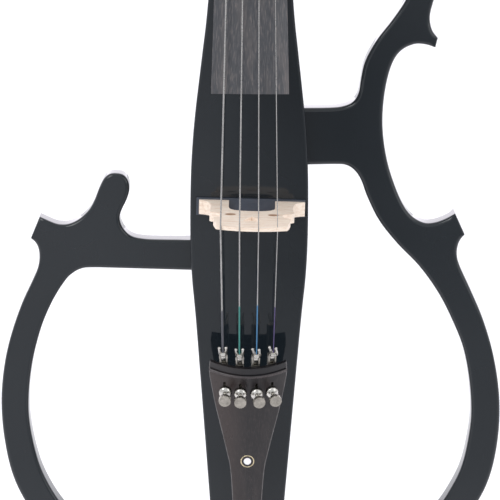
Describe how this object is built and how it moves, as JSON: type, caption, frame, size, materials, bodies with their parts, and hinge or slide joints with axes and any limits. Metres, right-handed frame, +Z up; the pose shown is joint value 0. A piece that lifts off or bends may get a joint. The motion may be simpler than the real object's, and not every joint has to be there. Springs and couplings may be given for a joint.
{
  "type": "electric cello",
  "caption": "Full-size skeleton-bodied electric cello: solid spine, open side frames, scrolled neck, bowed strings with fine tuners, sliding endpin and rear controls.",
  "frame": {"origin": "centre of the endpin tip's foot, where it meets the floor", "axes": "+Z up along the spine, +X to the viewer's right as the front is seen, the front with the strings faces -Y"},
  "size_m": [0.4355, 0.1758, 1.3609],
  "materials": {
    "lacquered_wood": "gloss black lacquer",
    "ebony": "satin",
    "rosewood": "satin",
    "maple": "bare wood",
    "black_plastic": "matt",
    "nickel": "polished nickel",
    "steel": "bright steel",
    "brass": "polished",
    "pearl": "mother of pearl",
    "rubber": "matt",
    "cord": "braided",
    "board": "solder mask",
    "battery": "printed jacket, left plain",
    "string_c": "wound, dark silk",
    "string_g": "wound, green silk",
    "string_d": "wound, blue silk",
    "string_a": "plain, violet silk"
  },
  "bodies": {
    "cello": {"spine": "lacquered_wood", "left_wing": "lacquered_wood", "right_wing": "lacquered_wood", "neck": "lacquered_wood", "fingerboard": "ebony", "nut": "ebony", "saddle": "ebony", "bridge": "maple", "pickup_bar": "black_plastic", "pickup_lead": "black_plastic", "tailpiece": "rosewood", "inlay_ring": "brass", "inlay_dot": "pearl", "tail_cord": "cord", "endpin_plug": "ebony", "endpin_ferrule": "nickel", "string_c": "string_c", "string_g": "string_g", "string_d": "string_d", "string_a": "string_a", "tuner_housings": "nickel", "tuner_nuts": "nickel", "tuner_pins": "nickel", "control_plate": "black_plastic", "plate_screws": "steel", "output_jack": "nickel", "headphone_jack": "nickel", "preamp_board": "board", "battery": "battery"},
    "peg_c": {"peg_c": "ebony", "winding_c": "string_c"},
    "peg_g": {"peg_g": "ebony", "winding_g": "string_g"},
    "peg_d": {"peg_d": "ebony", "winding_d": "string_d"},
    "peg_a": {"peg_a": "ebony", "winding_a": "string_a"},
    "tuner_screw_c": {"tuner_screw_c": "nickel"},
    "tuner_head_c": {"tuner_head_c": "nickel"},
    "tuner_lever_c": {"tuner_lever_c": "nickel", "string_end_c": "string_c"},
    "tuner_screw_g": {"tuner_screw_g": "nickel"},
    "tuner_head_g": {"tuner_head_g": "nickel"},
    "tuner_lever_g": {"tuner_lever_g": "nickel", "string_end_g": "string_g"},
    "tuner_screw_d": {"tuner_screw_d": "nickel"},
    "tuner_head_d": {"tuner_head_d": "nickel"},
    "tuner_lever_d": {"tuner_lever_d": "nickel", "string_end_d": "string_d"},
    "tuner_screw_a": {"tuner_screw_a": "nickel"},
    "tuner_head_a": {"tuner_head_a": "nickel"},
    "tuner_lever_a": {"tuner_lever_a": "nickel", "string_end_a": "string_a"},
    "endpin": {"endpin_rod": "steel", "endpin_tip": "rubber"},
    "endpin_thumbscrew": {"endpin_thumbscrew": "nickel"},
    "volume_knob": {"volume_knob": "black_plastic"},
    "tone_knob": {"tone_knob": "black_plastic"},
    "power_switch": {"power_switch": "black_plastic"},
    "battery_door": {"battery_door": "black_plastic"}
  },
  "joints": [
    {"name": "peg_turn_c", "type": "hinge", "parent": "cello", "child": "peg_c", "pos_m": [0, 0.01427, 1.19954], "axis": [-1, 0, 0], "continuous": true},
    {"name": "peg_turn_g", "type": "hinge", "parent": "cello", "child": "peg_g", "pos_m": [0, 0.03171, 1.25369], "axis": [-1, 0, 0], "continuous": true},
    {"name": "peg_turn_d", "type": "hinge", "parent": "cello", "child": "peg_d", "pos_m": [0, 0.0384, 1.277], "axis": [1, 0, 0], "continuous": true},
    {"name": "peg_turn_a", "type": "hinge", "parent": "cello", "child": "peg_a", "pos_m": [0, 0.02196, 1.22272], "axis": [1, 0, 0], "continuous": true},
    {"name": "tuner_travel_c", "type": "slide", "parent": "cello", "child": "tuner_screw_c", "axis": [0, 0.9769, 0.2139], "range_m": [0, 0.006]},
    {"name": "tuner_turn_c", "type": "hinge", "parent": "tuner_screw_c", "child": "tuner_head_c", "pos_m": [-0.0194, -0.09156, 0.3373], "axis": [0, 0.9769, 0.2139], "range_deg": [0, 4321]},
    {"name": "tuner_tilt_c", "type": "hinge", "parent": "cello", "child": "tuner_lever_c", "pos_m": [-0.02089, -0.07509, 0.37055], "axis": [0.9987, -0.011, 0.05], "range_deg": [0, 11.9]},
    {"name": "tuner_travel_g", "type": "slide", "parent": "cello", "child": "tuner_screw_g", "axis": [0, 0.9769, 0.2139], "range_m": [0, 0.006]},
    {"name": "tuner_turn_g", "type": "hinge", "parent": "tuner_screw_g", "child": "tuner_head_g", "pos_m": [-0.0063, -0.09439, 0.33668], "axis": [0, 0.9769, 0.2139], "range_deg": [0, 4321]},
    {"name": "tuner_tilt_g", "type": "hinge", "parent": "cello", "child": "tuner_lever_g", "pos_m": [-0.00712, -0.07792, 0.36996], "axis": [0.9996, -0.006, 0.0275], "range_deg": [0, 11.9]},
    {"name": "tuner_travel_d", "type": "slide", "parent": "cello", "child": "tuner_screw_d", "axis": [-0.1478, 0.9661, 0.2115], "range_m": [0, 0.006]},
    {"name": "tuner_turn_d", "type": "hinge", "parent": "tuner_screw_d", "child": "tuner_head_d", "pos_m": [0.00957, -0.09412, 0.33674], "axis": [-0.1478, 0.9661, 0.2115], "range_deg": [0, 4321]},
    {"name": "tuner_tilt_d", "type": "hinge", "parent": "cello", "child": "tuner_lever_d", "pos_m": [0.00628, -0.07788, 0.36998], "axis": [0.989, 0.1455, 0.0266], "range_deg": [0, 11.9]},
    {"name": "tuner_travel_a", "type": "slide", "parent": "cello", "child": "tuner_screw_a", "axis": [-0.1822, 0.9605, 0.2103], "range_m": [0, 0.006]},
    {"name": "tuner_turn_a", "type": "hinge", "parent": "tuner_screw_a", "child": "tuner_head_a", "pos_m": [0.02322, -0.09099, 0.33742], "axis": [-0.1822, 0.9605, 0.2103], "range_deg": [0, 4321]},
    {"name": "tuner_tilt_a", "type": "hinge", "parent": "cello", "child": "tuner_lever_a", "pos_m": [0.02001, -0.07472, 0.37065], "axis": [0.9826, 0.1856, 0.0039], "range_deg": [0, 11.9]},
    {"name": "endpin_slide", "type": "slide", "parent": "cello", "child": "endpin", "axis": [0, 0, -1], "range_m": [-0.085, 0.2]},
    {"name": "thumbscrew_turn", "type": "hinge", "parent": "cello", "child": "endpin_thumbscrew", "pos_m": [0, -0.015, 0.11425], "axis": [0, -1, 0], "range_deg": [0, 720]},
    {"name": "volume_turn", "type": "hinge", "parent": "cello", "child": "volume_knob", "pos_m": [-0.016, 0.028, 0.605], "axis": [0, 1, 0], "range_deg": [0, 280]},
    {"name": "tone_turn", "type": "hinge", "parent": "cello", "child": "tone_knob", "pos_m": [0.016, 0.028, 0.605], "axis": [0, 1, 0], "range_deg": [0, 280]},
    {"name": "switch_slide", "type": "slide", "parent": "cello", "child": "power_switch", "axis": [0, 0, 1], "range_m": [0, 0.004]},
    {"name": "door_swing", "type": "hinge", "parent": "cello", "child": "battery_door", "pos_m": [0, 0.027, 0.5194], "axis": [-1, 0, 0], "range_deg": [0, 110]}
  ],
  "couplings": [
    {"joint": "tuner_turn_c", "follows": "tuner_travel_c", "rad_per_m": 12566},
    {"joint": "tuner_tilt_c", "follows": "tuner_travel_c", "rad_per_m": 34.483},
    {"joint": "tuner_turn_g", "follows": "tuner_travel_g", "rad_per_m": 12566},
    {"joint": "tuner_tilt_g", "follows": "tuner_travel_g", "rad_per_m": 34.483},
    {"joint": "tuner_turn_d", "follows": "tuner_travel_d", "rad_per_m": 12566},
    {"joint": "tuner_tilt_d", "follows": "tuner_travel_d", "rad_per_m": 34.483},
    {"joint": "tuner_turn_a", "follows": "tuner_travel_a", "rad_per_m": 12566},
    {"joint": "tuner_tilt_a", "follows": "tuner_travel_a", "rad_per_m": 34.483}
  ]
}
